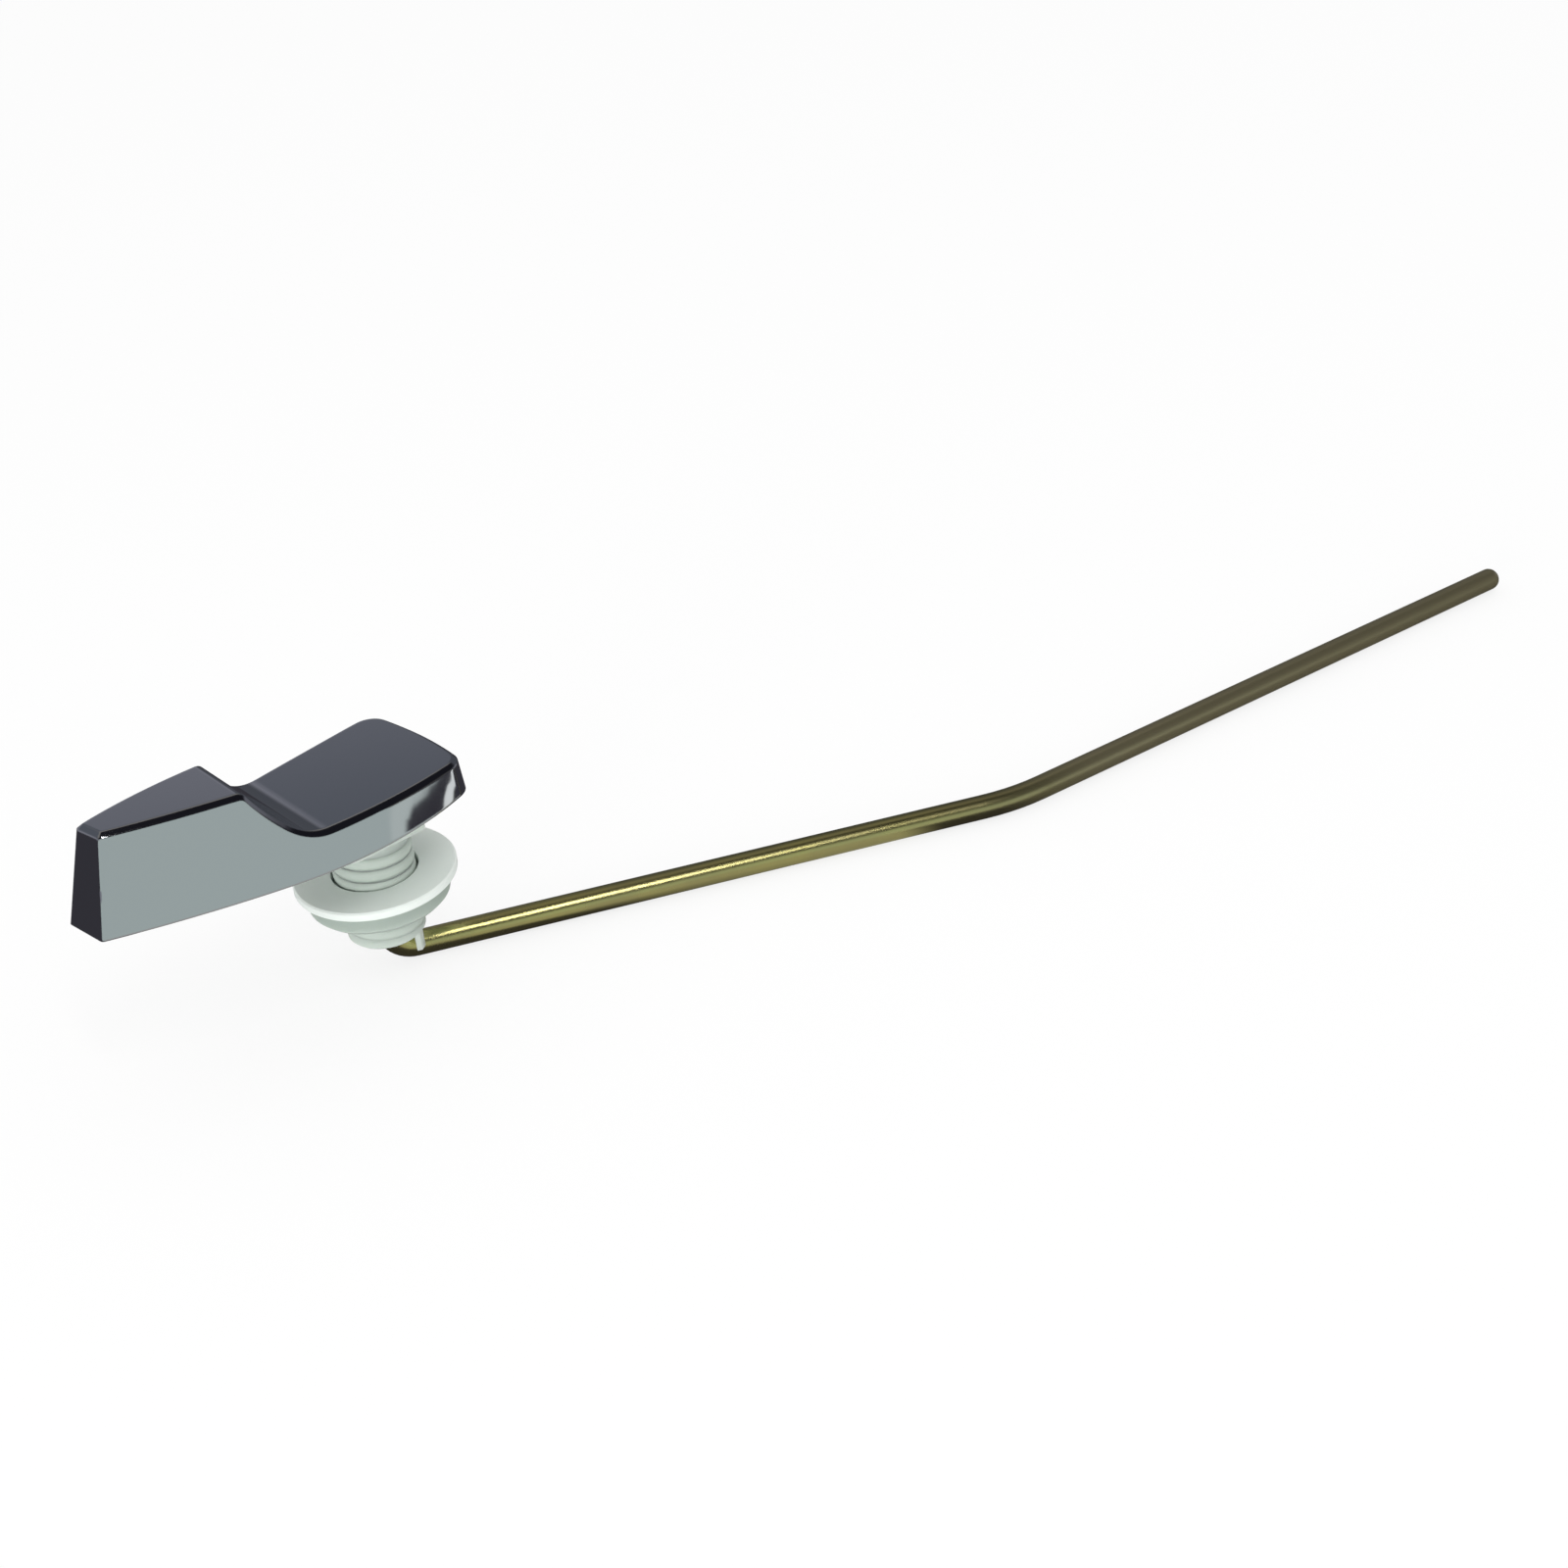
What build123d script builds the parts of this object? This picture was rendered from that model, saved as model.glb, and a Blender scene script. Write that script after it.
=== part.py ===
"""Cistern lever: a chrome-plated cast handle on a bent brass arm that turns in a nylon bush.

The frame stands on the cistern's front wall. The origin is on the pivot axis, in the plane where
the bush's head bears on the wall. +Z runs out of the cistern, +X runs along the handle from the
paddle to the hub, and +Y is up when the lever is in use.
"""
import os
from math import cos, radians, sin

from build123d import *

os.makedirs("parts", exist_ok=True)

# Brass arm, bent from one length of round rod
ROD_RADIUS = 2.38
ROD_END_ROUND = 1.9
ELBOW_RADIUS = 4.5
ARM_DEPTH = 31.2
ARM_DROP = 25.5
INNER_LEG = 123.0
OUTER_LEG = 140.5
KINK_ANGLE = 17.5
KINK_RADIUS = 42.0

# Nylon bush, which passes through the wall and carries the arm
SPINDLE_CLEARANCE = 0.06
HEAD_RADIUS = 12.2
HEAD_THICKNESS = 2.4
HEAD_CHAMFER = 0.5
SQUARE_WIDTH = 15.6
SQUARE_LENGTH = 5.4
SQUARE_CORNER = 1.2
THREAD_ROOT_RADIUS = 7.1
SHANK_LENGTH = 26.5
SHANK_CHAMFER = 0.5
STOP_CLEARANCE = 0.3
STOP_THICKNESS = 1.4
STOP_REACH = 4.3
STOP_WIDTH = 1.7
STOP_LENGTH = 3.7

# Nylon washer and lock nut, run part of the way up the shank
THREAD_DEPTH = 0.55
WASHER_POSITION = 13.2
WASHER_RADIUS = 14.7
WASHER_THICKNESS = 1.8
WASHER_CHAMFER = 0.3
WASHER_CLEARANCE = 0.25
NUT_RADIUS = 12.8
NUT_THICKNESS = 4.4
NUT_CHAMFER = 0.9
NUT_SEAT_GAP = 0.05
NUT_CLEARANCE = 0.1

# Cast handle: half widths above and below the axis, at the open back and at the level of the paddle's tip
BACK_GAP = 0.8
HUB_FACE = 7.1
CREST_FACE = 17.0
TIP_FACE = 18.6
CREST_POSITION = -24.2
CREST_ROUND = 1.8
COVE_END = -13.2
COVE_WAIST = -19.5
COVE_WAIST_FACE = 9.9
PADDLE_POSITION = -36.0
SHOULDER_POSITION = -22.5
TIP_LEAN = 0.55
END_LEAN = 0.7
END_BOW = 1.35
BACK_TIP = -52.9
BACK_END = 16.0
BACK_TIP_UPPER = 5.3
BACK_TIP_LOWER = 4.2
BACK_PADDLE_UPPER = 9.2
BACK_PADDLE_LOWER = 10.4
BACK_SHOULDER_UPPER = 12.3
BACK_SHOULDER_LOWER = 14.4
BACK_CORNER_UPPER = 16.4
BACK_CORNER_LOWER = 11.8
FRONT_TIP = -48.1
FRONT_END = 15.0
FRONT_TIP_HALF = 2.9
FRONT_PADDLE_UPPER = 6.0
FRONT_PADDLE_LOWER = 5.5
FRONT_SHOULDER_UPPER = 7.1
FRONT_SHOULDER_LOWER = 7.4
FRONT_CORNER_UPPER = 13.8
FRONT_CORNER_LOWER = 12.0
TIP_CORNER_ROUND = 0.9
HUB_CORNER_ROUND = 4.5
FACE_EDGE_CHAMFER = 0.8
CASTING_WALL = 1.6
TIP_WALL = 2.4
BOSS_RADIUS = 6.0
BOSS_CLEARANCE = 0.2
ROD_COVER = 1.0

SPINDLE_TOP = HUB_FACE - ROD_COVER
SPINDLE_BORE = ROD_RADIUS + SPINDLE_CLEARANCE
BOSS_FOOT = HEAD_THICKNESS + BOSS_CLEARANCE
SWEEP_WIDTH = 4 * BACK_CORNER_UPPER
CLEAR_HEIGHT = 2 * TIP_FACE


def on_arm(along, across):
    """Point of the wall plane measured along the arm's inner leg and square to it."""
    direction = radians(-ARM_DROP)
    return (
        along * cos(direction) - across * sin(direction),
        along * sin(direction) + across * cos(direction),
    )


def handle_outline(height, tip, end, upper, lower, wall, tip_wall):
    """Plan of the handle at one height, moved in by a wall. A side is its half widths from tip to hub."""
    with BuildSketch(Plane.XY.offset(height)) as outline:
        with BuildLine():
            edges = []
            for side, half_widths in ((1, upper), (-1, lower)):
                at_tip, at_paddle, at_shoulder, at_corner = [side * (half - wall) for half in half_widths]
                paddle_edge = ThreePointArc(
                    (tip + tip_wall - side * TIP_LEAN, at_tip),
                    (PADDLE_POSITION, at_paddle),
                    (SHOULDER_POSITION, at_shoulder),
                )
                corner = (end - wall - END_BOW - side * END_LEAN, at_corner)
                hub_edge = TangentArc(paddle_edge @ 1, corner, tangent=paddle_edge % 1)
                edges.append((paddle_edge, hub_edge))
            Line(edges[0][0] @ 0, edges[1][0] @ 0)
            ThreePointArc(edges[0][1] @ 1, (end - wall, 0), edges[1][1] @ 1)
        make_face()
        fillet(outline.vertices().sort_by(Axis.X)[-2:], HUB_CORNER_ROUND)
        narrow = min(upper[0], lower[0]) - wall
        fillet(outline.vertices().sort_by(Axis.X)[:2], min(TIP_CORNER_ROUND, narrow / 2))
    return outline.sketch


def handle_block(wall, tip_wall):
    """Drawn sides of the handle between the back and the level of its tip, moved in by the walls."""
    return [
        handle_outline(
            BACK_GAP,
            BACK_TIP,
            BACK_END,
            (BACK_TIP_UPPER, BACK_PADDLE_UPPER, BACK_SHOULDER_UPPER, BACK_CORNER_UPPER),
            (BACK_TIP_LOWER, BACK_PADDLE_LOWER, BACK_SHOULDER_LOWER, BACK_CORNER_LOWER),
            wall,
            tip_wall,
        ),
        handle_outline(
            TIP_FACE,
            FRONT_TIP,
            FRONT_END,
            (FRONT_TIP_HALF, FRONT_PADDLE_UPPER, FRONT_SHOULDER_UPPER, FRONT_CORNER_UPPER),
            (FRONT_TIP_HALF, FRONT_PADDLE_LOWER, FRONT_SHOULDER_LOWER, FRONT_CORNER_LOWER),
            wall,
            tip_wall,
        ),
    ]


def space_in_front(depth):
    """Side view of the space in front of the handle, moved into the metal by a depth."""
    with BuildSketch(Plane.XZ.offset(-SWEEP_WIDTH / 2)) as space:
        with BuildLine():
            crest = (CREST_POSITION - depth, CREST_FACE - depth)
            cove_waist = (COVE_WAIST - depth, COVE_WAIST_FACE - depth)
            cove_end = (COVE_END - depth, HUB_FACE - depth)
            tip_slope = (TIP_FACE - CREST_FACE) / (CREST_POSITION - FRONT_TIP)
            far_tip = (2 * BACK_TIP, crest[1] + tip_slope * (crest[0] - 2 * BACK_TIP))
            Line(far_tip, crest)
            cove_foot = TangentArc(cove_end, cove_waist, tangent=(-1, 0))
            TangentArc(cove_waist, crest, tangent=cove_foot % 1)
            Line(cove_end, (2 * BACK_END, cove_end[1]))
            Line((2 * BACK_END, cove_end[1]), (2 * BACK_END, CLEAR_HEIGHT))
            Line((2 * BACK_END, CLEAR_HEIGHT), (far_tip[0], CLEAR_HEIGHT))
            Line((far_tip[0], CLEAR_HEIGHT), far_tip)
        make_face()
        fillet(space.vertices().sort_by_distance(crest)[0], CREST_ROUND)
    return space.sketch


# Brass arm
with BuildPart() as arm_rod:
    with BuildLine():
        kink = on_arm(INNER_LEG, 0)
        outer = radians(KINK_ANGLE - ARM_DROP)
        FilletPolyline(
            (0, 0, SPINDLE_TOP),
            (0, 0, -ARM_DEPTH),
            (*kink, -ARM_DEPTH),
            (kink[0] + OUTER_LEG * cos(outer), kink[1] + OUTER_LEG * sin(outer), -ARM_DEPTH),
            radius=[ELBOW_RADIUS, KINK_RADIUS],
        )
    with BuildSketch(Plane.XY.offset(SPINDLE_TOP)):
        Circle(ROD_RADIUS)
    sweep()
    fillet(arm_rod.faces().sort_by(Axis.X)[-1].edges(), ROD_END_ROUND)

arm_rod.part.label = "arm_rod"
export_step(arm_rod.part, "parts/arm_rod.step")

# Nylon bush
with BuildPart() as bush:
    with BuildSketch():
        Circle(HEAD_RADIUS)
    extrude(amount=HEAD_THICKNESS)
    chamfer(bush.edges().group_by(Axis.Z)[-1], HEAD_CHAMFER)
    with BuildSketch():
        RectangleRounded(SQUARE_WIDTH, SQUARE_WIDTH, SQUARE_CORNER)
    extrude(amount=-SQUARE_LENGTH)
    with BuildSketch(Plane.XY.offset(-SQUARE_LENGTH)):
        Circle(THREAD_ROOT_RADIUS)
    extrude(amount=SQUARE_LENGTH - SHANK_LENGTH)
    chamfer(bush.edges().group_by(Axis.Z)[0], SHANK_CHAMFER)
    stop_face = ROD_RADIUS + STOP_CLEARANCE
    with BuildSketch(Plane.XY.offset(-SHANK_LENGTH)):
        with Locations(Location((*on_arm(STOP_REACH, -stop_face), 0), (0, 0, -ARM_DROP))):
            Rectangle(STOP_WIDTH, STOP_THICKNESS, align=(Align.MIN, Align.MAX))
        Circle(THREAD_ROOT_RADIUS - SHANK_CHAMFER, mode=Mode.INTERSECT)
    extrude(amount=-STOP_LENGTH)
    Hole(SPINDLE_BORE)

bush.part.label = "bush"
export_step(bush.part, "parts/bush.step")

# Washer, bored to pass over the thread
with BuildPart() as washer:
    with BuildSketch(Plane.XY.offset(-WASHER_POSITION)):
        Circle(WASHER_RADIUS)
        Circle(THREAD_ROOT_RADIUS + THREAD_DEPTH + WASHER_CLEARANCE, mode=Mode.SUBTRACT)
    extrude(amount=-WASHER_THICKNESS)
    washer_rim = washer.faces().filter_by(GeomType.CYLINDER).sort_by(SortBy.RADIUS)[-1]
    chamfer(washer_rim.edges(), WASHER_CHAMFER)

washer.part.label = "washer"
export_step(washer.part, "parts/washer.step")

# Lock nut, bored to the thread's root
with BuildPart() as lock_nut:
    with BuildSketch(Plane.XY.offset(-WASHER_POSITION - WASHER_THICKNESS - NUT_SEAT_GAP)):
        Circle(NUT_RADIUS)
        Circle(THREAD_ROOT_RADIUS + NUT_CLEARANCE, mode=Mode.SUBTRACT)
    extrude(amount=-NUT_THICKNESS)
    nut_rim = lock_nut.faces().filter_by(GeomType.CYLINDER).sort_by(SortBy.RADIUS)[-1]
    chamfer(nut_rim.edges(), NUT_CHAMFER)

lock_nut.part.label = "lock_nut"
export_step(lock_nut.part, "parts/lock_nut.step")

# Hollow of the handle, cast open at the back with the wall's thickness left all round
with BuildPart() as hollow:
    loft(handle_block(CASTING_WALL, TIP_WALL), ruled=True)
    extrude(space_in_front(CASTING_WALL), amount=SWEEP_WIDTH, mode=Mode.SUBTRACT)

# Handle: sides drawn from back to front, the front cut to its swooping profile, then hollowed
with BuildPart() as handle:
    loft(handle_block(0, 0), ruled=True)
    extrude(space_in_front(0), amount=SWEEP_WIDTH, mode=Mode.SUBTRACT)
    paddle_face, hub_face = handle.faces().filter_by(GeomType.PLANE).sort_by(Axis.Z)[-1:-3:-1]
    cove_faces = handle.faces().filter_by(GeomType.CYLINDER)
    front_edges = paddle_face.edges() + cove_faces.edges() + hub_face.edges()
    seams = front_edges.filter_by(GeomType.LINE).filter_by_position(Axis.X, PADDLE_POSITION, COVE_END)
    rim = (front_edges - seams).sort_by(SortBy.LENGTH, reverse=True)
    chamfer(rim, FACE_EDGE_CHAMFER)
    add(hollow.part, mode=Mode.SUBTRACT)
    with BuildSketch(Plane.XY.offset(BOSS_FOOT)):
        Circle(BOSS_RADIUS)
    extrude(amount=SPINDLE_TOP - BOSS_FOOT)
    with BuildSketch(Plane.XY.offset(BOSS_FOOT)):
        Circle(ROD_RADIUS)
    extrude(amount=SPINDLE_TOP - BOSS_FOOT, mode=Mode.SUBTRACT)

handle.part.label = "handle"
export_step(handle.part, "parts/handle.step")
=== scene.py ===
"""Cistern lever: chrome handle, brass arm and nylon bush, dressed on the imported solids."""
from math import pi, radians

import bpy
import numpy as np
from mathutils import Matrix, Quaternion, Vector


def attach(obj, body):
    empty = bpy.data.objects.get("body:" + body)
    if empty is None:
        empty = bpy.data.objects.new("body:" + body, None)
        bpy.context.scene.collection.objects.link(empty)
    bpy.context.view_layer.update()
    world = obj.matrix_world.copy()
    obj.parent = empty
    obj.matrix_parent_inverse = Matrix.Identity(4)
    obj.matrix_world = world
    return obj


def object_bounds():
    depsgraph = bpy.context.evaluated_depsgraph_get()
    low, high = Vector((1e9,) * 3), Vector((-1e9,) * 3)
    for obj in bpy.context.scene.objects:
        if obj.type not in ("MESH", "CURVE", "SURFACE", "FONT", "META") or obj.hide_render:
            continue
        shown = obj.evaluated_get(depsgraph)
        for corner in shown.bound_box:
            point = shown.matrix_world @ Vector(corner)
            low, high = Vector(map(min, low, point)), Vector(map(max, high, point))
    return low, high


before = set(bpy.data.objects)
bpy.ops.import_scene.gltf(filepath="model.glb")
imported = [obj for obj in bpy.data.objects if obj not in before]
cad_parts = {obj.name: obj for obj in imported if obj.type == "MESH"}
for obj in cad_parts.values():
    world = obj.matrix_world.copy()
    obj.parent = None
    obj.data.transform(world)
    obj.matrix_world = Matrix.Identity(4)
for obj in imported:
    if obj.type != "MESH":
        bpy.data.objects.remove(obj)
cad_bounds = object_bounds()

# Bush: one moulding in natural nylon that passes through the cistern's wall and carries the arm.
# The solid is plain at the root of its thread, so its left-hand thread is a ridge wound round the shank.
# Nylon is milky: light goes a little way in, and the skin has faint clouds from the mould's flow.
SHANK_ROOT = 0.0071
THREAD_DEPTH = 0.0003
THREAD_SINK = 0.0003
THREAD_LEAD = 0.0025
THREAD_FOOT_WIDTH = 0.0022
THREAD_CREST_WIDTH = 0.0009
THREAD_TOP = -0.0066
THREAD_BOTTOM = -0.0248
THREAD_RUN_OUT = 0.4
THREAD_LEAST_FADE = 0.02
STEPS_PER_TURN = 96
NYLON_CLOUD_SIZE = 0.006
NYLON_GRAIN_SIZE = 0.0005
NYLON_GRAIN_HEIGHT = 0.00008
NYLON_SHEEN_SPREAD = 0.08
NYLON_IOR = 1.53
NYLON_LIGHT_DEPTH = 0.005
NYLON_LIGHT_TINT = (1.0, 1.0, 0.9)
BUSH_CLEAR = (0.50, 0.575, 0.515)
BUSH_MILKY = (0.56, 0.63, 0.575)
BUSH_ROUGHNESS = 0.42
MILKY_SHARE = 0.9
THREAD_MILKY_SHARE = 0.0


def mesh_piece(name, points, faces, material):
    """New object at the origin from vertex places and faces, shaded smooth."""
    mesh = bpy.data.meshes.new(name)
    mesh.from_pydata(points.tolist(), [], [list(face) for face in faces])
    mesh.polygons.foreach_set("use_smooth", np.ones(len(mesh.polygons), bool))
    mesh.materials.append(material)
    mesh.update()
    piece = bpy.data.objects.new(name, mesh)
    bpy.context.scene.collection.objects.link(piece)
    return piece


def dress(node_name, material):
    """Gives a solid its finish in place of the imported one."""
    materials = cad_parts[node_name].data.materials
    materials.clear()
    materials.append(material)


def new_material(name):
    """Material with its node tree and its Principled shader."""
    material = bpy.data.materials.new(name)
    material.use_nodes = True
    return material, material.node_tree, material.node_tree.nodes["Principled BSDF"]


def add_node(tree, kind, inputs=None, **settings):
    """Node of one kind; inputs holds numbers or colours for its sockets, by socket name or number."""
    node = tree.nodes.new(kind)
    for name, value in settings.items():
        setattr(node, name, value)
    for socket, value in (inputs or {}).items():
        node.inputs[socket].default_value = value
    return node


def join(tree, *links):
    """Links in a node tree, each a pair of an output and the input that it feeds."""
    for source, target in links:
        tree.links.new(source, target)


def two_tone(tree, first, second):
    """Mix of two plain colours, whose share is linked to its first input."""
    return add_node(tree, "ShaderNodeMix", {6: (*first, 1), 7: (*second, 1)}, data_type="RGBA")


def clouded_skin_group():
    """Clouds and grain of a surface: two noises on the piece's own place, at given sizes in metres."""
    group = bpy.data.node_groups.new("clouded_skin", "ShaderNodeTree")
    for name in ("Cloud Size", "Grain Size"):
        group.interface.new_socket(name, in_out="INPUT", socket_type="NodeSocketFloat")
    for name in ("Clouds", "Grain"):
        group.interface.new_socket(name, in_out="OUTPUT", socket_type="NodeSocketFloat")
    sizes = group.nodes.new("NodeGroupInput")
    result = group.nodes.new("NodeGroupOutput")
    place = group.nodes.new("ShaderNodeTexCoord")
    for size, name in (("Cloud Size", "Clouds"), ("Grain Size", "Grain")):
        scale = add_node(group, "ShaderNodeMath", {0: 1.0}, operation="DIVIDE")
        noise = add_node(group, "ShaderNodeTexNoise", {"Detail": 3.0, "Roughness": 0.55})
        join(
            group,
            (sizes.outputs[size], scale.inputs[1]),
            (place.outputs["Object"], noise.inputs["Vector"]),
            (scale.outputs[0], noise.inputs["Scale"]),
            (noise.outputs["Fac"], result.inputs[name]),
        )
    return group


clouded_skin = clouded_skin_group()


def add_skin(tree, cloud_size, grain_size):
    """Clouded skin placed in a material."""
    sizes = {"Cloud Size": cloud_size, "Grain Size": grain_size}
    return add_node(tree, "ShaderNodeGroup", sizes, node_tree=clouded_skin)


def nylon_material(name, clear_colour, milky_colour, roughness, milky_share):
    """Natural nylon: two near tints in clouds, a soft sheen, and a share of light that goes into it."""
    material, tree, shader = new_material(name)
    skin = add_skin(tree, NYLON_CLOUD_SIZE, NYLON_GRAIN_SIZE)
    tint = two_tone(tree, clear_colour, milky_colour)
    sheen = add_node(tree, "ShaderNodeMapRange",
                     {"To Min": roughness - NYLON_SHEEN_SPREAD, "To Max": roughness + NYLON_SHEEN_SPREAD})
    bump = add_node(tree, "ShaderNodeBump", {"Strength": 0.25, "Distance": NYLON_GRAIN_HEIGHT})
    join(
        tree,
        (skin.outputs["Clouds"], tint.inputs[0]),
        (skin.outputs["Grain"], sheen.inputs["Value"]),
        (skin.outputs["Grain"], bump.inputs["Height"]),
        (tint.outputs[2], shader.inputs["Base Color"]),
        (sheen.outputs["Result"], shader.inputs["Roughness"]),
        (bump.outputs["Normal"], shader.inputs["Normal"]),
    )
    shader.inputs["IOR"].default_value = NYLON_IOR
    shader.inputs["Subsurface Weight"].default_value = milky_share
    shader.inputs["Subsurface Radius"].default_value = NYLON_LIGHT_TINT
    shader.inputs["Subsurface Scale"].default_value = NYLON_LIGHT_DEPTH
    return material


def thread_ridge(name, material):
    """Ridge of a left-hand thread. Round the shank by angle a, its middle is at height
    top - lead * a / 2 pi, and a trapezium of foot and crest widths is carried along it;
    the height of the ridge rises and dies over the run-out."""
    turns = (THREAD_TOP - THREAD_BOTTOM) / THREAD_LEAD
    steps = int(turns * STEPS_PER_TURN) + 1
    turned = np.linspace(0, turns, steps)[:, None]
    fade = np.clip(np.minimum(turned, turns - turned) / THREAD_RUN_OUT, THREAD_LEAST_FADE, 1)
    rise = fade * fade * (3 - 2 * fade)
    foot, crest = THREAD_FOOT_WIDTH / 2, THREAD_CREST_WIDTH / 2
    along = np.array([-foot, -foot, -crest, crest, foot, foot])
    proud = np.array([0, 0, 1, 1, 0, 0])[None, :]
    sunk = np.array([1, 0, 0, 0, 0, 1])[None, :]
    radius = SHANK_ROOT + proud * rise * THREAD_DEPTH - sunk * THREAD_SINK
    height = THREAD_TOP - turned * THREAD_LEAD + along
    angle = 2 * pi * turned
    points = np.stack([radius * np.cos(angle), radius * np.sin(angle), height], axis=-1).reshape(-1, 3)
    ring = len(along)
    here = (np.arange(steps - 1)[:, None] * ring + np.arange(ring)[None, :]).ravel()
    beside = (np.arange(steps - 1)[:, None] * ring + (np.arange(ring)[None, :] + 1) % ring).ravel()
    walls = np.stack([here, here + ring, beside + ring, beside], axis=-1)
    ends = [list(range(ring)), list(range((steps - 1) * ring, steps * ring))[::-1]]
    return mesh_piece(name, points, walls.tolist() + ends, material)


dress("bush", nylon_material("bush_nylon", BUSH_CLEAR, BUSH_MILKY, BUSH_ROUGHNESS, MILKY_SHARE))
thread_nylon = nylon_material("thread_nylon", BUSH_CLEAR, BUSH_MILKY, BUSH_ROUGHNESS, THREAD_MILKY_SHARE)
thread = thread_ridge("bush_thread", thread_nylon)
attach(thread, "bush")

# Washer and lock nut: flat nylon rings, moulded, that clamp the wall from inside the cistern.
# They are natural nylon like the bush. The washer's tints are painted light to lift it out of the
# handle's shade, and it lets less light in; the nut's tints are painted shade that tones down the light
# on its side.
RING_ROUGHNESS = 0.46
# Washer tints: the bush's nylon painted lighter, as painted light under the handle's shade.
WASHER_CLEAR_PAINTED_LIGHT = (0.78, 0.845, 0.795)
WASHER_MILKY_PAINTED_LIGHT = (0.82, 0.88, 0.835)
WASHER_MILKY_SHARE = 0.2
# Nut tints: the bush's nylon painted darker, as painted shade on its lit side.
NUT_CLEAR_PAINTED_SHADE = (0.355, 0.415, 0.375)
NUT_MILKY_PAINTED_SHADE = (0.41, 0.47, 0.43)
washer_nylon_painted_light = nylon_material(
    "washer_nylon_painted_light", WASHER_CLEAR_PAINTED_LIGHT, WASHER_MILKY_PAINTED_LIGHT, RING_ROUGHNESS, WASHER_MILKY_SHARE)
dress("washer", washer_nylon_painted_light)
dress("lock_nut", nylon_material("nut_nylon", NUT_CLEAR_PAINTED_SHADE, NUT_MILKY_PAINTED_SHADE, RING_ROUGHNESS, MILKY_SHARE))

# Arm: drawn brass rod, bent cold. Drawing leaves fine lines along it, and the brass has dulled unevenly.
# The outer leg, which reaches into the cistern, is browner than the leg beside the bush.
BRIGHT_BRASS = (0.60, 0.55, 0.22)
DULL_BRASS = (0.39, 0.345, 0.205)
DULL_FROM = 0.078
DULL_TO = 0.135
PATCH_FROM = 0.42
PATCH_TO = 0.75
PATCH_SHARE = 0.35
FILM_FROM = 0.5
FILM_METALLIC = 0.84
BRIGHT_ROUGHNESS = 0.26
DULL_ROUGHNESS = 0.36
BRASS_CLOUD_SIZE = 0.009
BRASS_GRAIN_SIZE = 0.0008
DRAW_DIRECTION = radians(17)
DRAW_STRETCH = 0.06
DRAW_LINE_SCALE = 2600.0
DRAW_LINE_HEIGHT = 0.00003


def brass_material():
    """Drawn brass: fine lines along the rod, dull patches, and a dull film that thickens to its end."""
    material, tree, shader = new_material("arm_brass")
    place = tree.nodes.new("ShaderNodeTexCoord")
    skin = add_skin(tree, BRASS_CLOUD_SIZE, BRASS_GRAIN_SIZE)
    turned = add_node(tree, "ShaderNodeMapping",
                      {"Rotation": (0, 0, DRAW_DIRECTION), "Scale": (DRAW_STRETCH, 1, 1)})
    lines = add_node(tree, "ShaderNodeTexNoise", {"Scale": DRAW_LINE_SCALE, "Detail": 2.0})
    split = tree.nodes.new("ShaderNodeSeparateXYZ")
    reach = add_node(tree, "ShaderNodeMapRange", {"From Min": DULL_FROM, "From Max": DULL_TO},
                     interpolation_type="SMOOTHSTEP")
    patches = add_node(tree, "ShaderNodeMapRange",
                       {"From Min": PATCH_FROM, "From Max": PATCH_TO, "To Max": PATCH_SHARE})
    dulled = add_node(tree, "ShaderNodeMath", operation="MAXIMUM")
    colour = two_tone(tree, BRIGHT_BRASS, DULL_BRASS)
    gloss = add_node(tree, "ShaderNodeMapRange", {"To Min": BRIGHT_ROUGHNESS, "To Max": DULL_ROUGHNESS})
    film = add_node(tree, "ShaderNodeMapRange",
                    {"From Min": FILM_FROM, "To Min": 1.0, "To Max": FILM_METALLIC})
    bump = add_node(tree, "ShaderNodeBump", {"Strength": 0.2, "Distance": DRAW_LINE_HEIGHT})
    join(
        tree,
        (place.outputs["Object"], turned.inputs["Vector"]),
        (turned.outputs["Vector"], lines.inputs["Vector"]),
        (place.outputs["Object"], split.inputs["Vector"]),
        (split.outputs["X"], reach.inputs["Value"]),
        (skin.outputs["Clouds"], patches.inputs["Value"]),
        (reach.outputs["Result"], dulled.inputs[0]),
        (patches.outputs["Result"], dulled.inputs[1]),
        (dulled.outputs[0], colour.inputs[0]),
        (dulled.outputs[0], gloss.inputs["Value"]),
        (dulled.outputs[0], film.inputs["Value"]),
        (lines.outputs["Fac"], bump.inputs["Height"]),
        (colour.outputs[2], shader.inputs["Base Color"]),
        (gloss.outputs["Result"], shader.inputs["Roughness"]),
        (film.outputs["Result"], shader.inputs["Metallic"]),
        (bump.outputs["Normal"], shader.inputs["Normal"]),
    )
    return material


dress("arm_rod", brass_material())

# Handle: a zinc casting, polished and chrome plated, with its edges rounded off by the polishing.
# The plating is bright outside, with faint smears from fingers, and thin and dull in the hollow back.
CHROME = (0.60, 0.615, 0.635)
DULL_PLATE = (0.36, 0.37, 0.38)
SMEAR_FROM = 0.45
SMEAR_TO = 0.75
CLEAN_ROUGHNESS = 0.05
SMEARED_ROUGHNESS = 0.10
CAST_ROUGHNESS = 0.45
EDGE_ROUND = 0.0006
HOLLOW_REACH = 0.016
HOLLOW_RIM = 0.95
HOLLOW_DEEP = 0.75
BACK_LEAN = 0.03
PLATE_CLOUD_SIZE = 0.014
PLATE_GRAIN_SIZE = 0.0011
PLATE_GRAIN_HEIGHT = 0.00002


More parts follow.
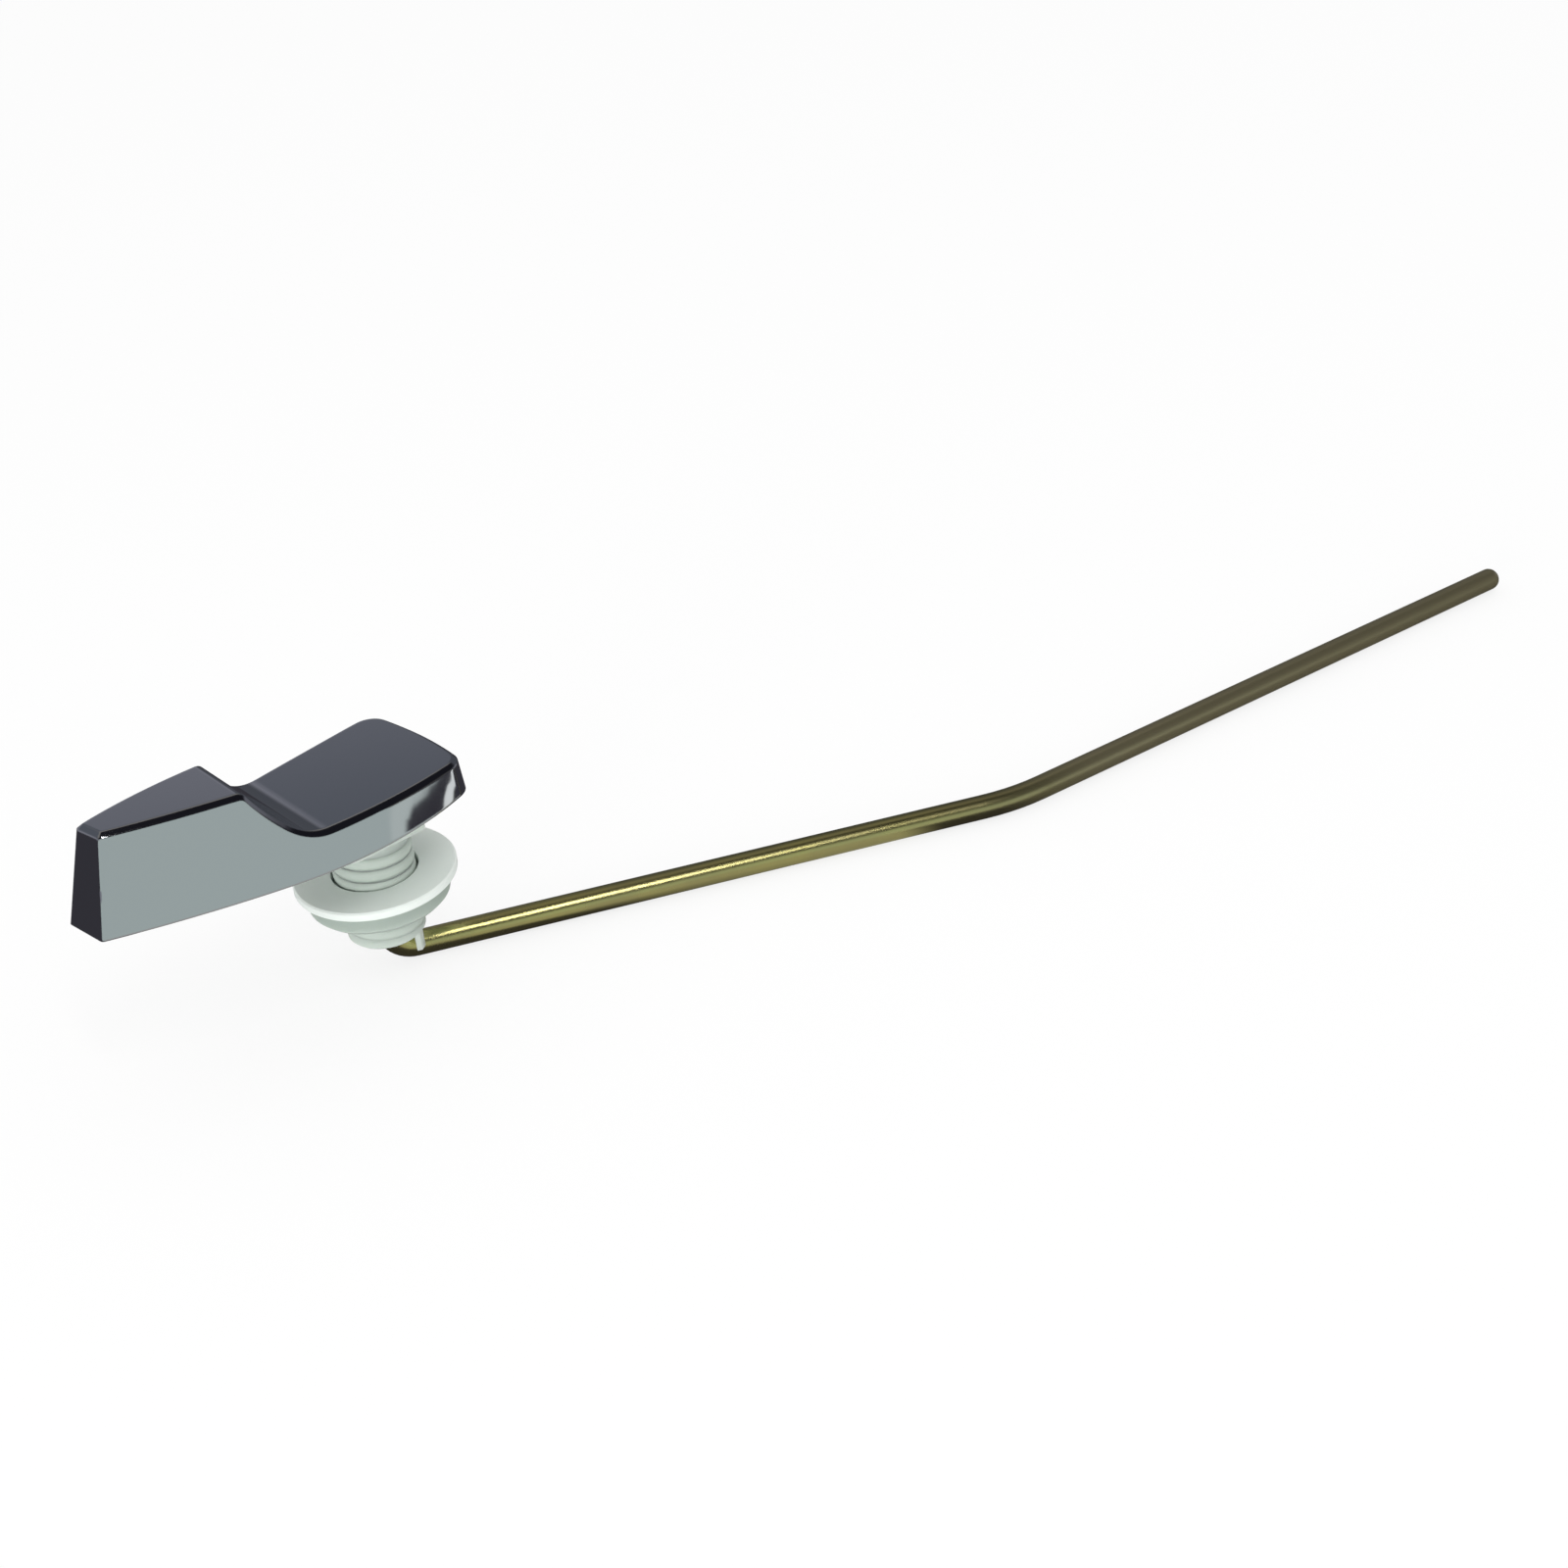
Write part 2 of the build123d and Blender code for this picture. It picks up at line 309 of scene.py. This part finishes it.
def chrome_material():
    """Chrome plate: a near mirror with soft smears; closed-in faces that lean to the back are dull."""
    material, tree, shader = new_material("handle_chrome")
    skin = add_skin(tree, PLATE_CLOUD_SIZE, PLATE_GRAIN_SIZE)
    hollow = add_node(tree, "ShaderNodeAmbientOcclusion", {"Distance": HOLLOW_REACH},
                      samples=8, only_local=True)
    closed_in = add_node(tree, "ShaderNodeMapRange", {"From Min": HOLLOW_RIM, "From Max": HOLLOW_DEEP})
    surface = tree.nodes.new("ShaderNodeNewGeometry")
    lean = tree.nodes.new("ShaderNodeSeparateXYZ")
    faces_back = add_node(tree, "ShaderNodeMapRange", {"From Min": BACK_LEAN, "From Max": -BACK_LEAN})
    inside = add_node(tree, "ShaderNodeMath", operation="MULTIPLY")
    smears = add_node(tree, "ShaderNodeMapRange",
                      {"From Min": SMEAR_FROM, "From Max": SMEAR_TO,
                       "To Min": CLEAN_ROUGHNESS, "To Max": SMEARED_ROUGHNESS})
    rough = add_node(tree, "ShaderNodeMix", {3: CAST_ROUGHNESS}, data_type="FLOAT")
    colour = two_tone(tree, CHROME, DULL_PLATE)
    edges = add_node(tree, "ShaderNodeBevel", {"Radius": EDGE_ROUND}, samples=16)
    bump = add_node(tree, "ShaderNodeBump", {"Strength": 0.04, "Distance": PLATE_GRAIN_HEIGHT})
    join(
        tree,
        (hollow.outputs["AO"], closed_in.inputs["Value"]),
        (surface.outputs["True Normal"], lean.inputs["Vector"]),
        (lean.outputs["Z"], faces_back.inputs["Value"]),
        (closed_in.outputs["Result"], inside.inputs[0]),
        (faces_back.outputs["Result"], inside.inputs[1]),
        (skin.outputs["Clouds"], smears.inputs["Value"]),
        (inside.outputs[0], rough.inputs[0]),
        (smears.outputs["Result"], rough.inputs[2]),
        (inside.outputs[0], colour.inputs[0]),
        (skin.outputs["Grain"], bump.inputs["Height"]),
        (edges.outputs["Normal"], bump.inputs["Normal"]),
        (rough.outputs[0], shader.inputs["Roughness"]),
        (colour.outputs[2], shader.inputs["Base Color"]),
        (bump.outputs["Normal"], shader.inputs["Normal"]),
    )
    shader.inputs["Metallic"].default_value = 1.0
    return material


dress("handle", chrome_material())

# Floor and background: plain white, so that the part stands free, with the floor just under the arm.
# For the camera and for mirrors most of the floor's white is a glow; the rest takes the part's shadow.
FLOOR_DROP = 0.0002
FLOOR_HEIGHT = cad_bounds[0][2] - FLOOR_DROP
FLOOR_REACH = 40.0
FLOOR_WHITE = 0.98
FLOOR_GLOW = 0.8
SKY_LEVEL = 0.85


def plane_points(reach, height):
    """Four corners of a level square."""
    corners = ((-1, -1), (1, -1), (1, 1), (-1, 1))
    return np.array([(reach * x, reach * y, height) for x, y in corners])


def seen_or_mirrored(tree):
    """Output that is 1 for rays from the camera, off a mirror or through glass, and 0 for other rays."""
    path = tree.nodes.new("ShaderNodeLightPath")
    shown = path.outputs["Is Camera Ray"]
    for ray in ("Is Glossy Ray", "Is Transmission Ray"):
        either = add_node(tree, "ShaderNodeMath", operation="MAXIMUM")
        join(tree, (shown, either.inputs[0]), (path.outputs[ray], either.inputs[1]))
        shown = either.outputs[0]
    return shown


def floor_material():
    """White floor: a matt surface and a plain glow, mixed by who sees it."""
    material, tree, shader = new_material("floor_white")
    shader.inputs["Base Color"].default_value = (FLOOR_WHITE, FLOOR_WHITE, FLOOR_WHITE, 1)
    shader.inputs["Roughness"].default_value = 0.9
    shader.inputs["Specular IOR Level"].default_value = 0.0
    glow = add_node(tree, "ShaderNodeEmission", {"Color": (1, 1, 1, 1)})
    share = add_node(tree, "ShaderNodeMath", {1: FLOOR_GLOW}, operation="MULTIPLY")
    mix = tree.nodes.new("ShaderNodeMixShader")
    join(
        tree,
        (seen_or_mirrored(tree), share.inputs[0]),
        (share.outputs[0], mix.inputs[0]),
        (shader.outputs["BSDF"], mix.inputs[1]),
        (glow.outputs["Emission"], mix.inputs[2]),
        (mix.outputs["Shader"], tree.nodes["Material Output"].inputs["Surface"]),
    )
    return material


floor = mesh_piece("floor", plane_points(FLOOR_REACH, FLOOR_HEIGHT), [[0, 1, 2, 3]], floor_material())
world = bpy.data.worlds.new("white_studio")
bpy.context.scene.world = world
world.use_nodes = True
sky = world.node_tree.nodes["Background"]
sky.inputs["Color"].default_value = (1, 1, 1, 1)
level = add_node(world.node_tree, "ShaderNodeMapRange", {"To Min": SKY_LEVEL, "To Max": 1.0})
join(
    world.node_tree,
    (seen_or_mirrored(world.node_tree), level.inputs["Value"]),
    (level.outputs["Result"], sky.inputs["Strength"]),
)
bpy.context.scene.view_settings.view_transform = "Standard"

# Painted reflections: a glowing card on the table and a glowing tent round the part, seen only in
# reflections;
# their tones paint the dark and pale bands that the chrome and the brass mirror. Each edge between two
# tones
# has a start and an end: an angle in radians, a distance in metres, or on the tent a share of its radius.
CARD_DROP = 0.0001
CARD_HEIGHT = cad_bounds[0][2] - CARD_DROP
TENT_RADIUS = 2.4
TENT_FOOT = -0.02
TENT_TOP = pi / 2 - 0.001
TENT_RINGS = 24
TENT_SPOKES = 48
HUB_CORNER = (0.010, -0.013, 0.0)
# Tones that glow on the painted reflection cards: painted reflections, not lamps.
FRONT_GREY = (0.49, 0.56, 0.545)
FRONT_PALE = (0.59, 0.65, 0.63)
SIDE_WHITE = (0.95, 0.97, 0.95)
TABLE_BLACK = (0.048, 0.046, 0.056)
LOW_SLATE = (0.26, 0.26, 0.30)
BACK_SLATE = (0.118, 0.128, 0.153)
HIGH_GREY = (0.25, 0.24, 0.23)
RIGHT_SLATE = (0.085, 0.09, 0.105)
ARM_GREY = (0.45, 0.45, 0.43)
ARM_SHADE = (0.09, 0.09, 0.085)
ROOF_BLACK = (0.012, 0.012, 0.016)
PALE_EDGE = (radians(-61), radians(-57))
WEDGE_EDGE = (radians(-54.6), radians(-53.0))
WEDGE_DIP = 0.0265
WEDGE_RISE = 0.524
WHITE_EDGE = (radians(-39.5), radians(-38))
WHITE_END = (radians(-34), radians(-32))
ARM_EDGE = (radians(-25), radians(-13))
BACK_EDGE = (radians(8), radians(14))
CORNER_EDGE = (radians(-63), radians(-60))
NEAR_REACH = (0.090, 0.100)
SHADE_REACH = (0.115, 0.125)
SLATE_HEIGHT = (0.36, 0.54)
HIGH_HEIGHT = (0.60, 0.85)
SHADE_HEIGHT = (0.12, 0.18)
FRONT_ROOF_HEIGHT = (0.34, 0.52)
SIDE_ROOF_HEIGHT = (0.10, 0.60)
REAR_RIGHT = (0.44, 0.54)
SIDE_TO_FRONT = (-0.35, -0.65)
BACK_TO_NEAR = (0.10, -0.06)


def emission_material(name):
    """Material that only glows, for a painted reflection card that only reflections see."""
    material = bpy.data.materials.new(name)
    material.use_nodes = True
    tree = material.node_tree
    tree.nodes.remove(tree.nodes["Principled BSDF"])
    shine = tree.nodes.new("ShaderNodeEmission")
    join(tree, (shine.outputs["Emission"], tree.nodes["Material Output"].inputs["Surface"]))
    return material, tree, shine


def reflections_only(card):
    """Cards give no light and no shadow, and the camera looks through them."""
    card.visible_camera = False
    card.visible_diffuse = False
    card.visible_transmission = False
    card.visible_volume_scatter = False
    card.visible_shadow = False


def dome_surface(radius, rings, spokes):
    """Half sphere: radius times (cos e cos a, cos e sin a, sin e) over elevation e and azimuth a."""
    elevation = np.linspace(TENT_FOOT, TENT_TOP, rings)[:, None]
    azimuth = np.linspace(0, 2 * pi, spokes, endpoint=False)[None, :]
    points = radius * np.stack([
        np.cos(elevation) * np.cos(azimuth),
        np.cos(elevation) * np.sin(azimuth),
        np.sin(elevation) + 0 * azimuth,
    ], axis=-1).reshape(-1, 3)
    here = (np.arange(rings - 1)[:, None] * spokes + np.arange(spokes)[None, :]).ravel()
    beside = (np.arange(rings - 1)[:, None] * spokes + (np.arange(spokes)[None, :] + 1) % spokes).ravel()
    walls = np.stack([here, here + spokes, beside + spokes, beside], axis=-1).tolist()
    return points, walls + [list(range((rings - 1) * spokes, rings * spokes))[::-1]]


def compass(tree, way):
    """A direction's parts along X, Y and Z, and its angle in the level plane, from +X towards +Y."""
    parts = tree.nodes.new("ShaderNodeSeparateXYZ")
    angle = add_node(tree, "ShaderNodeMath", operation="ARCTAN2")
    join(
        tree,
        (way.outputs["Vector"], parts.inputs["Vector"]),
        (parts.outputs["Y"], angle.inputs[0]),
        (parts.outputs["X"], angle.inputs[1]),
    )
    return parts.outputs, angle.outputs[0]


def blend(tree, value, edge, first, second):
    """Colour that goes from first to second as a value crosses an edge; each is a colour or a node."""
    ramp = add_node(tree, "ShaderNodeMapRange", {"From Min": edge[0], "From Max": edge[1]},
                    interpolation_type="SMOOTHSTEP")
    mix = add_node(tree, "ShaderNodeMix", data_type="RGBA")
    join(tree, (value, ramp.inputs["Value"]), (ramp.outputs["Result"], mix.inputs[0]))
    for socket, colour in ((6, first), (7, second)):
        if isinstance(colour, tuple):
            mix.inputs[socket].default_value = (*colour, 1)
        else:
            join(tree, (colour.outputs[2], mix.inputs[socket]))
    return mix


def painted_reflection_table_material():
    """Painted reflection on the table: glowing tones by the angle round the hub's corner and the distance
    from it.
    """
    material, tree, shine = emission_material("painted_reflection_table")
    place = tree.nodes.new("ShaderNodeTexCoord")
    way = add_node(tree, "ShaderNodeVectorMath", {1: HUB_CORNER}, operation="SUBTRACT")
    length = add_node(tree, "ShaderNodeVectorMath", operation="LENGTH")
    dip = add_node(tree, "ShaderNodeMath", {0: -WEDGE_DIP}, operation="DIVIDE")
    dipped = add_node(tree, "ShaderNodeMath", operation="ADD")
    angle = compass(tree, way)[1]
    reach, turn = length.outputs["Value"], dipped.outputs[0]
    join(
        tree,
        (place.outputs["Object"], way.inputs[0]),
        (way.outputs["Vector"], length.inputs[0]),
        (reach, dip.inputs[1]),
        (angle, dipped.inputs[0]),
        (dip.outputs[0], dipped.inputs[1]),
    )
    near = blend(tree, angle, ARM_EDGE, ARM_GREY, TABLE_BLACK)
    right = blend(tree, reach, SHADE_REACH, TABLE_BLACK, ARM_SHADE)
    far = blend(tree, turn, PALE_EDGE, FRONT_GREY, FRONT_PALE)
    far = blend(tree, turn, WEDGE_EDGE, far, TABLE_BLACK)
    far = blend(tree, angle, WHITE_EDGE, far, SIDE_WHITE)
    far = blend(tree, angle, WHITE_END, far, right)
    far = blend(tree, angle, BACK_EDGE, far, TABLE_BLACK)
    join(tree, (blend(tree, reach, NEAR_REACH, near, far).outputs[2], shine.inputs["Color"]))
    return material


def painted_reflection_tent_material():
    """Painted reflection tent: glowing slate behind, grey in front with the table's edges carried up it,
    black roof in front.
    """
    material, tree, shine = emission_material("painted_reflection_tent")
    place = tree.nodes.new("ShaderNodeTexCoord")
    way = add_node(tree, "ShaderNodeVectorMath", operation="NORMALIZE")
    risen = add_node(tree, "ShaderNodeMath", {1: WEDGE_RISE}, operation="MULTIPLY_ADD")
    parts, angle = compass(tree, way)
    height, turn = parts["Z"], risen.outputs[0]
    join(
        tree,
        (place.outputs["Object"], way.inputs[0]),
        (height, risen.inputs[0]),
        (angle, risen.inputs[2]),
    )
    back = blend(tree, height, SLATE_HEIGHT, LOW_SLATE, BACK_SLATE)
    back = blend(tree, parts["X"], REAR_RIGHT, back, RIGHT_SLATE)
    back = blend(tree, height, HIGH_HEIGHT, back, HIGH_GREY)
    front = blend(tree, turn, PALE_EDGE, FRONT_GREY, FRONT_PALE)
    front = blend(tree, turn, WEDGE_EDGE, front, TABLE_BLACK)
    front = blend(tree, height, SHADE_HEIGHT, front, ARM_SHADE)
    front = blend(tree, angle, CORNER_EDGE, FRONT_GREY, front)
    front = blend(tree, height, FRONT_ROOF_HEIGHT, front, ROOF_BLACK)
    side = blend(tree, height, SIDE_ROOF_HEIGHT, LOW_SLATE, ROOF_BLACK)
    near = blend(tree, parts["Y"], SIDE_TO_FRONT, side, front)
    join(tree, (blend(tree, parts["Y"], BACK_TO_NEAR, back, near).outputs[2], shine.inputs["Color"]))
    return material


# The card and the tent are painted reflections: they glow, and only mirrors see them.
reflections_only(mesh_piece(
    "painted_reflection_table", plane_points(TENT_RADIUS, CARD_HEIGHT), [[0, 1, 2, 3]], painted_reflection_table_material()))
tent_shape = dome_surface(TENT_RADIUS, TENT_RINGS, TENT_SPOKES)
reflections_only(mesh_piece("painted_reflection_tent", *tent_shape, painted_reflection_tent_material()))

# Lamps: one narrow lamp high in front, which gives the chrome and the brass their small bright spots.
# A weak fill stands low at the left and lights the nylon under the handle; no reflection shows it.
LAMP_PLACE = (-0.115, -0.648, 1.008)
LAMP_SIZE = (0.10, 0.42)
LAMP_POWER = 1.9
FILL_PLACE = (-0.80, -0.35, 0.10)
FILL_SIZE = (0.4, 0.3)
FILL_POWER = 3.0


def panel_lamp(name, place, size, power):
    """Oblong lamp of a width and a height that faces the part's origin."""
    data = bpy.data.lights.new(name, "AREA")
    data.shape = "RECTANGLE"
    data.size, data.size_y = size
    data.energy = power
    lamp = bpy.data.objects.new(name, data)
    lamp.location = place
    lamp.rotation_mode = "QUATERNION"
    lamp.rotation_quaternion = (-Vector(place)).to_track_quat("-Z", "Y")
    bpy.context.scene.collection.objects.link(lamp)
    return lamp


panel_lamp("lamp", LAMP_PLACE, LAMP_SIZE, LAMP_POWER)
panel_lamp("fill", FILL_PLACE, FILL_SIZE, FILL_POWER).visible_glossy = False

# Camera: the photograph's own place, found from the rod's edges and the rims of the rings.
# It is near the part, a little above the handle and to its left, and slightly rolled.
CAMERA_PLACE = (-0.15327, -0.29781, 0.19389)
CAMERA_AIM = (0.08844, -0.01051, -0.03358)
CAMERA_ROLL = radians(-5.42)
CAMERA_LENS = 49.55
CAMERA_SENSOR = 36.0
camera_data = bpy.data.cameras.new("camera")
camera_data.lens = CAMERA_LENS
camera_data.sensor_width = CAMERA_SENSOR
camera_data.clip_start = 0.01
camera = bpy.data.objects.new("camera", camera_data)
camera.location = CAMERA_PLACE
camera.rotation_mode = "QUATERNION"
level_camera = (Vector(CAMERA_AIM) - Vector(CAMERA_PLACE)).to_track_quat("-Z", "Y")
camera.rotation_quaternion = level_camera @ Quaternion((0, 0, 1), CAMERA_ROLL)
bpy.context.scene.collection.objects.link(camera)
bpy.context.scene.camera = camera
